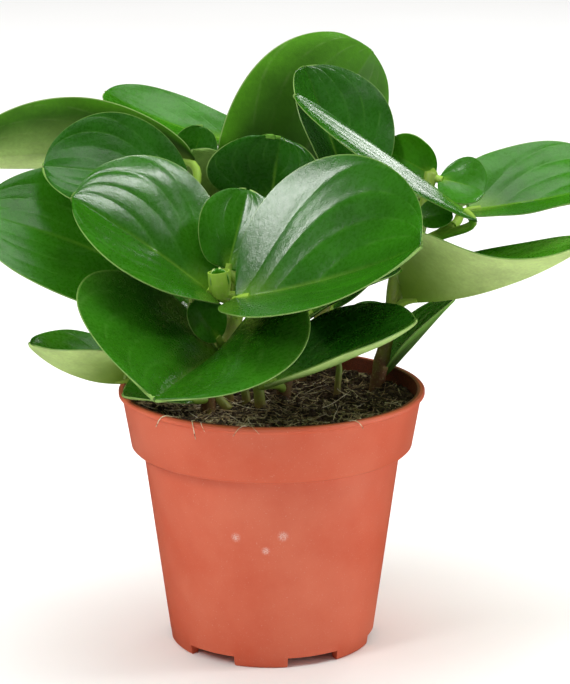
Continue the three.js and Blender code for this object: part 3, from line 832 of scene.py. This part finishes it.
class PlantSettings(bpy.types.PropertyGroup):
    blade_step: FloatProperty(
        name="Blade step", description="Size of a leaf's mesh squares, in millimetres", default=1.1, min=0.8)
    vein_depth: FloatProperty(
        name="Vein depth", description="How deep the veins sink into a leaf, in millimetres", default=0.45)
    blade_wave: FloatProperty(
        name="Blade wave", description="How far a leaf waves, in millimetres", default=1.0)
    grain_count: IntProperty(
        name="Peat grains", description="How many loose crumbs of peat there are", default=2600)
    fibre_count: IntProperty(
        name="Fibres", description="How many loose fibres lie on the peat", default=420)
    seed: IntProperty(name="Seed", description="Seed of every random draw", default=7)
    pot_colour: FloatVectorProperty(
        name="Pot colour", description="Colour of the pot's plastic", subtype="COLOR", size=3,
        default=linear("#d35a39")[:3])
    panel_power: power("panel overhead", 76.0)
    left_power: power("left softbox", 5.5)
    right_power: power("right softbox", 2.3)
    front_power: power("softbox above the camera", 1.2)
    top_power: power("softbox above the plant", 1.5)
    rim_power: power("small softbox behind", 1.0)
    side_power: power("low softbox at the right", 5.0)
    sky: FloatProperty(name="Sky", description="Strength of the even white light all round", default=0.32)


# Pieces

class PLANT_OT_leaves(bpy.types.Operator):
    """Make every leaf in place of its solid"""
    bl_idname = "plant.leaves"
    bl_label = "Leaves"

    def execute(self, context):
        materials = [leaf_top_material(), leaf_under_material(), leaf_edge_material()]
        materials.append(stem_material("leaf stalk skin", "#7da034", "#9cc544", (90, 165)))
        shoots = {name: path for name, (_, path) in SHOOTS.items()}
        stems = {name: smooth_curve(path, CURVE_STEPS) for name, path in {**STEMS, **shoots}.items()}
        for name, leaf in LEAVES.items():
            leaf_piece(name, leaf, stems, materials, context.scene.plant)
        return {"FINISHED"}


class PLANT_OT_stems(bpy.types.Operator):
    """Make the stems, the young shoots in the peat and the sheath round the bud"""
    bl_idname = "plant.stems"
    bl_label = "Stems"

    def execute(self, context):
        skin = stem_material("fleshy stem skin", "#6e4a2c", "#8bad3c", (100, 142))
        for name, path in STEMS.items():
            bm = bmesh.new()
            self.stem(bm, name, path)
            for shoot, (root, way) in SHOOTS.items():
                if root == name:
                    self.stem(bm, shoot, way)
            bmesh.ops.recalc_face_normals(bm, faces=bm.faces)
            dress(mesh_object(bm, "fine_stem_" + name, [skin], STEM_SHARP), ["stem_" + name])

        bm = bmesh.new()
        for path, radius in SPROUTS:
            points = smooth_curve(path, CURVE_STEPS)
            bar(bm, points, tapered(radius, points, 0.3), SPROUT_SIDES)
        bmesh.ops.recalc_face_normals(bm, faces=bm.faces)
        young = stem_material("young shoot skin", "#8a5a3a", "#86a23c", (94, 106))
        dress(mesh_object(bm, "young_sprouts", [young], STEM_SHARP))

        sheath = stem_material("bud sheath skin", "#7fae30", "#a9cf4e", (143, 158))
        dress(mesh_object(self.sheath(), "bud_sheath", [sheath], STEM_SHARP))
        return {"FINISHED"}

    def stem(self, bm, name, path):
        """A stem that thins towards its tip, with a swelling where each leaf stands."""
        points = smooth_curve(path, STEM_STEPS)
        knots = [leaf.at for leaf in LEAVES.values() if leaf.stem == name]
        radii = []
        for i in range(len(points)):
            share = i / (len(points) - 1)
            swell = sum(math.exp(-((share - knot) / KNOT_LENGTH) ** 2) for knot in knots)
            radii.append(STEM_RADIUS * min(1.0, 1.02 - STEM_TAPER * share) + KNOT_SWELL * min(swell, 1))
        radii[-1] = STEM_RADIUS * STEM_TIP
        bar(bm, points, radii, STEM_SIDES)

    def sheath(self):
        """An open cup, a little bellied and flattened, at the bud's foot."""
        foot, rim = SHEATH_RADII
        middle, half = (foot + rim) / 2 + SHEATH_BELLY, SHEATH_HEIGHT / 2
        bm = turned([
            (0, 0), (foot, 0), (middle, half), (rim, SHEATH_HEIGHT), (rim - SHEATH_WALL, SHEATH_HEIGHT),
            (middle - SHEATH_WALL, half), (foot - SHEATH_WALL, SHEATH_WALL), (0, SHEATH_WALL),
        ], SHEATH_SIDES)
        turn = Vector(SHEATH_AHEAD).to_track_quat("Z", "Y")
        place = Matrix.LocRotScale(Vector(SHEATH_FOOT), turn, Vector((1, SHEATH_FLAT, 1)))
        bmesh.ops.transform(bm, matrix=place, verts=bm.verts)
        return bm


def peat_top(x, y):
    """The height of the peat's uneven top: waves and a slope as in the solid, lumps and a heaped front."""
    waves = (math.sin(0.21 * x + 0.5) * math.cos(0.17 * y) + 0.6 * math.sin(0.43 * x + 0.31 * y + 1.2)
             + 0.4 * math.cos(0.61 * y - 0.37 * x))
    lumps = noise.fractal(Vector((x, y, 0)) * LUMP_PITCH, 0.6, 2.1, 4)
    edge = min(max((math.hypot(x, y) - HEAP_START) / (PEAT_RADIUS - HEAP_START), 0), 1)
    heap = FRONT_HEAP * edge ** 2 * max(-y / PEAT_RADIUS, 0)
    return PEAT_LEVEL + PEAT_BUMP * waves / 2 - PEAT_FALL * y + PEAT_LUMP * lumps + heap


class PLANT_OT_peat(bpy.types.Operator):
    """Make the peat's top with its crumbs, fibres and roots"""
    bl_idname = "plant.peat"
    bl_label = "Peat"

    def execute(self, context):
        settings = context.scene.plant
        draw = random.Random(settings.seed)
        dress(mesh_object(self.bed(), "peat_bed", [peat_material()]), ["peat"])

        crumbs = [self.crumb(draw) for _ in range(settings.grain_count)]
        bm = batches(crumbs, lambda part, place: bmesh.ops.create_icosphere(
            part, subdivisions=1, radius=1.0, matrix=place))
        dress(mesh_object(bm, "peat_crumbs", [crumb_material("peat crumbs", "#1a120b", "#5a4532")]))

        for name, (dark, light, many, length, radius, curl) in STRANDS.items():
            count = round(settings.fibre_count * many)
            strands = [self.fibre(draw, length, radius, curl) for _ in range(count)]
            if name == "pale_roots":
                strands += [self.stray(draw, turn) for turn in STRAY_TURNS]
            bm = batches([s for s in strands if s], lambda part, strand: bar(part, *strand, FIBRE_SIDES))
            dry = crumb_material("dry " + name.replace("_", " "), dark, light, 0.7)
            dress(mesh_object(bm, name, [dry]))
        return {"FINISHED"}

    def bed(self):
        """The peat as one block that fills the pot, with an uneven top."""
        gap = POT_WALL + PEAT_GAP
        profile = [
            (0, PEAT_BOTTOM), (BASE_RADIUS - gap, PEAT_BOTTOM), (BODY_RADIUS - gap, COLLAR_Z),
            (PEAT_RADIUS - PEAT_LEAN, COLLAR_Z + PEAT_STEP), (PEAT_RADIUS, PEAT_LEVEL - PEAT_EDGE),
            *[(PEAT_RADIUS * (1 - i / PEAT_RINGS), PEAT_LEVEL) for i in range(PEAT_RINGS + 1)],
        ]
        bm = turned(profile, PEAT_SIDES)
        for v in bm.verts:
            if v.co.z > PEAT_LEVEL - PEAT_EDGE / 2:
                v.co.z = peat_top(v.co.x, v.co.y)
        return bm

    def spot(self, draw, reach):
        """A random place on the peat."""
        radius = reach * math.sqrt(draw.random())
        turn = draw.uniform(0, 2 * math.pi)
        x, y = radius * math.cos(turn), radius * math.sin(turn)
        return Vector((x, y, peat_top(x, y)))

    def crumb(self, draw):
        """Where a crumb lies, how it is turned and how long it is each way."""
        size = draw.uniform(*GRAIN_SIZE)
        axis = (draw.gauss(0, 1), draw.gauss(0, 1), draw.gauss(0, 1))
        turn = Quaternion(axis, draw.uniform(0, math.pi))
        shape = Vector([draw.uniform(*GRAIN_STRETCH) for _ in range(3)]) * size
        return Matrix.LocRotScale(self.spot(draw, PEAT_RADIUS - GRAIN_MARGIN), turn, shape)

    def fibre(self, draw, lengths, radii, curl):
        """A thin strand that lies on the peat and bridges its dips: its points and radii."""
        length = draw.uniform(*lengths)
        radius = draw.uniform(*radii)
        place = self.spot(draw, PEAT_RADIUS - FIBRE_MARGIN)
        heading = draw.uniform(0, 2 * math.pi)
        bend = draw.gauss(0, curl / 2)
        steps = 3 + round(length / 2)
        points = []
        x, y = place.x, -abs(place.y) if draw.random() < FRONT_SHARE else place.y
        start = peat_top(x, y)
        lift = draw.uniform(0.0, min(length / 3, FIBRE_LIFT))
        for i in range(steps + 1):
            if math.hypot(x, y) > PEAT_RADIUS - GRAIN_MARGIN:
                break
            height = max(peat_top(x, y), start + lift * (i / steps) ** 2)
            points.append(Vector((x, y, radius + height)))
            heading += bend + draw.gauss(0, curl)
            x += math.cos(heading) * length / steps
            y += math.sin(heading) * length / steps
        if len(points) < 3:
            return None
        return points, tapered(radius, points, 0.6)

    def stray(self, draw, compass):
        """A root that climbs out over the pot's lip at the front and hangs down a little."""
        turn = math.radians(compass)
        drift = draw.gauss(0, 0.03)
        drop = draw.uniform(*STRAY_DROP)
        radius = draw.uniform(*STRAY_RADIUS)
        way = [(PEAT_RADIUS - 8, PEAT_LEVEL + 1.2), (PEAT_RADIUS - 2, POT_HEIGHT - 1.5),
               (RIM_RADIUS - LIP_WIDTH, POT_HEIGHT + 0.5), (RIM_RADIUS + 0.4, POT_HEIGHT - 0.3),
               (RIM_RADIUS + 0.8, POT_HEIGHT - drop)]
        points = smooth_curve([(math.cos(turn + drift * i) * r, math.sin(turn + drift * i) * r, z)
                               for i, (r, z) in enumerate(way)], STRAY_STEPS)
        return points, tapered(radius, points, 0.5)


class PLANT_OT_pot(bpy.types.Operator):
    """Make the pot: one turned wall, then the notches in its foot and the holes in its floor"""
    bl_idname = "plant.pot"
    bl_label = "Pot"

    def execute(self, context):
        plastic = pot_material(context.scene.plant)
        piece = mesh_object(turned(self.profile(), POT_SIDES), "moulded_pot", [plastic])
        cutter = mesh_object(self.drains(), "drain_cutters", [])
        cut = piece.modifiers.new("Drains", "BOOLEAN")
        cut.operation = "DIFFERENCE"
        cut.solver = "EXACT"
        cut.object = cutter
        settle(piece)
        bpy.data.objects.remove(cutter)
        piece.data.set_sharp_from_angle(angle=math.radians(SHARP))
        soften = piece.modifiers.new("Edges", "BEVEL")
        soften.width = EDGE_ROUND * MM
        soften.segments = 2
        soften.limit_method = "ANGLE"
        soften.angle_limit = math.radians(SOFTENED)
        dress(piece, ["pot"])
        return {"FINISHED"}

    def profile(self):
        """The wall's outline: under the floor, up the outside, over the lip and down the inside."""
        floor = CHANNEL_RISE + FLOOR_THICKNESS
        foot, shoulder = (BASE_RADIUS, FOOT_ROUND), (BODY_RADIUS, COLLAR_Z - SHOULDER_ROUND)
        inner_shoulder = (BODY_RADIUS - POT_WALL, COLLAR_Z - FOOT_ROUND)
        inner_foot = (BASE_RADIUS - POT_WALL + FOOT_ROUND, floor)
        under_lip = POT_HEIGHT - LIP_DEPTH
        return [
            (0, 0), (PAD_RADIUS, 0), (CHANNEL[0], CHANNEL_RISE), (CHANNEL[1], CHANNEL_RISE),
            (CHANNEL[1] + POT_WALL, 0), (BASE_RADIUS - FOOT_ROUND, 0),
            *np.linspace(foot, shoulder, WALL_STEPS + 1),
            (COLLAR_RADIUS - SHOULDER_ROUND, COLLAR_Z), (COLLAR_RADIUS, COLLAR_Z + SHOULDER_ROUND),
            (RIM_RADIUS - LIP_WIDTH, under_lip), (RIM_RADIUS, under_lip + SHOULDER_ROUND),
            (RIM_RADIUS, POT_HEIGHT - LIP_ROUND), (RIM_RADIUS - LIP_ROUND, POT_HEIGHT),
            (RIM_RADIUS - LIP_WIDTH - POT_WALL, POT_HEIGHT), (COLLAR_RADIUS - POT_WALL, COLLAR_Z + POT_WALL),
            *np.linspace(inner_shoulder, inner_foot, WALL_STEPS + 1),
            (CHANNEL[0] - POT_WALL, floor), (PAD_RADIUS - POT_WALL, FLOOR_THICKNESS), (0, FLOOR_THICKNESS),
        ]

    def drains(self):
        """The notches in the foot and the holes in the floor, as one mesh to cut with."""
        bm = bmesh.new()
        for i in range(NOTCH_COUNT):
            turn = Matrix.Rotation(math.radians(NOTCH_START - 90 + i * 360 / NOTCH_COUNT), 4, "Z")
            block = turn @ Matrix.Translation((BASE_RADIUS, 0, 0)) @ Matrix.Diagonal((*NOTCH, 1))
            bmesh.ops.create_cube(bm, size=1, matrix=block)
            bmesh.ops.create_cone(
                bm, cap_ends=True, segments=32, radius1=DRAIN_RADIUS, radius2=DRAIN_RADIUS,
                depth=DRAIN_DEPTH, matrix=turn @ Matrix.Translation((DRAIN_CENTRE, 0, 0)))
        return bm


# Stage

# The camera: its place and film in millimetres, its pitch in degrees, its focal length and the photo's
# height in pixels, and how near and far it sees in metres
CAMERA_PLACE = (5.2, -1000, 372)
CAMERA_PITCH = 14.14
CAMERA_FOCUS_PX = 2641
PHOTO_HEIGHT_PX = 684
FILM_HEIGHT = 36
REACH = (0.05, 50)

# Half the side of the white paper, in millimetres
FLOOR_HALF = 9000

# The lights, in metres. A softbox has a width and height, a compass angle that is 0 at the back and 90 at
# the right, the angle that it stands above the plant, and its distance from the plant's middle.
PLANT_MIDDLE = (0, 0, 0.15)
PANEL_SIZE = (3.2, 3.2)
PANEL_PLACE = (0, 0.9, 2.3)
SOFTBOXES = {
    "left": ((0.24, 0.44), -133, 38, 1.15),
    "right": ((0.16, 0.16), 98, 49, 1.15),
    "front": ((0.45, 0.45), 157, 57, 1.3),
    "top": ((0.5, 0.5), 15, 80, 1.4),
    "rim": ((0.16, 0.3), 24, 20, 1.6),
    "side": ((0.8, 0.5), 95, 4, 1.4),
}


class PLANT_OT_stage(bpy.types.Operator):
    """Lay the floor, hang the lights and place the camera"""
    bl_idname = "plant.stage"
    bl_label = "Stage"

    def execute(self, context):
        scene = context.scene
        settings = scene.plant
        bm = bmesh.new()
        bmesh.ops.create_grid(bm, x_segments=8, y_segments=8, size=FLOOR_HALF)
        floor = mesh_object(bm, "paper_floor", [paper_material()])
        floor.visible_glossy = False
        place = Vector(PANEL_PLACE)
        below = Vector((place.x, place.y, 0))
        panel = self.lamp(scene, "overhead_panel", settings.panel_power, PANEL_SIZE, place, below)
        panel.visible_glossy = False
        middle = Vector(PLANT_MIDDLE)
        for name, (size, compass, height, distance) in SOFTBOXES.items():
            watts = getattr(settings, name + "_power")
            place = middle + self.way(compass, height, distance)
            self.lamp(scene, name + "_softbox", watts, size, place, middle)
        self.room(scene, settings.sky)
        self.camera(scene)
        scene.view_settings.view_transform = "Standard"
        return {"FINISHED"}

    def room(self, scene, strength):
        """Even white light from all round, which the leaves don't mirror."""
        world = bpy.data.worlds.new("White room")
        world.use_nodes = True
        background = world.node_tree.nodes["Background"]
        background.inputs[0].default_value = (1, 1, 1, 1)
        background.inputs[1].default_value = strength
        world.cycles_visibility.glossy = False
        scene.world = world

    def camera(self, scene):
        """A camera where the photo was taken, pitched down and level."""
        lens = bpy.data.cameras.new("Camera")
        lens.sensor_width = FILM_HEIGHT
        lens.lens = CAMERA_FOCUS_PX * FILM_HEIGHT / PHOTO_HEIGHT_PX
        lens.clip_start, lens.clip_end = REACH
        camera = bpy.data.objects.new("Camera", lens)
        camera.location = Vector(CAMERA_PLACE) * MM
        camera.rotation_euler = (math.radians(90 - CAMERA_PITCH), 0, 0)
        scene.collection.objects.link(camera)
        scene.camera = camera

    def way(self, compass, height, distance):
        """The step from the plant's middle to a light."""
        turn, rise = math.radians(compass), math.radians(height)
        flat = math.cos(rise) * distance
        return Vector((math.sin(turn) * flat, math.cos(turn) * flat, math.sin(rise) * distance))

    def lamp(self, scene, name, watts, size, place, target):
        """A softbox at a place, turned to a target, with a width and a height."""
        light = bpy.data.lights.new(name, "AREA")
        light.shape = "RECTANGLE"
        light.energy = watts
        light.size, light.size_y = size
        lamp = bpy.data.objects.new(name, light)
        lamp.location = place
        lamp.rotation_euler = (place - target).to_track_quat("Z", "Y").to_euler()
        lamp.visible_camera = False
        scene.collection.objects.link(lamp)
        return lamp


class PLANT_PT_panel(bpy.types.Panel):
    """The plant's steps and settings"""
    bl_label = "Potted Peperomia"
    bl_idname = "PLANT_PT_panel"
    bl_space_type = "VIEW_3D"
    bl_region_type = "UI"
    bl_category = "Plant"

    def draw(self, context):
        for step in STEPS:
            self.layout.operator(step)
        for name in PlantSettings.__annotations__:
            self.layout.prop(context.scene.plant, name)


STEPS = ("plant.stage", "plant.pot", "plant.peat", "plant.stems", "plant.leaves")
CLASSES = (
    PlantSettings, PLANT_OT_leaves, PLANT_OT_stems, PLANT_OT_peat, PLANT_OT_pot, PLANT_OT_stage,
    PLANT_PT_panel,
)


def register():
    for kind in CLASSES:
        bpy.utils.register_class(kind)
    bpy.types.Scene.plant = PointerProperty(type=PlantSettings)


def unregister():
    del bpy.types.Scene.plant
    for kind in reversed(CLASSES):
        bpy.utils.unregister_class(kind)


def main():
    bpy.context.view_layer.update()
    register()
    bpy.ops.plant.stage()
    bpy.ops.plant.pot()
    bpy.ops.plant.peat()
    bpy.ops.plant.stems()
    bpy.ops.plant.leaves()


if __name__ == "__main__":
    main()
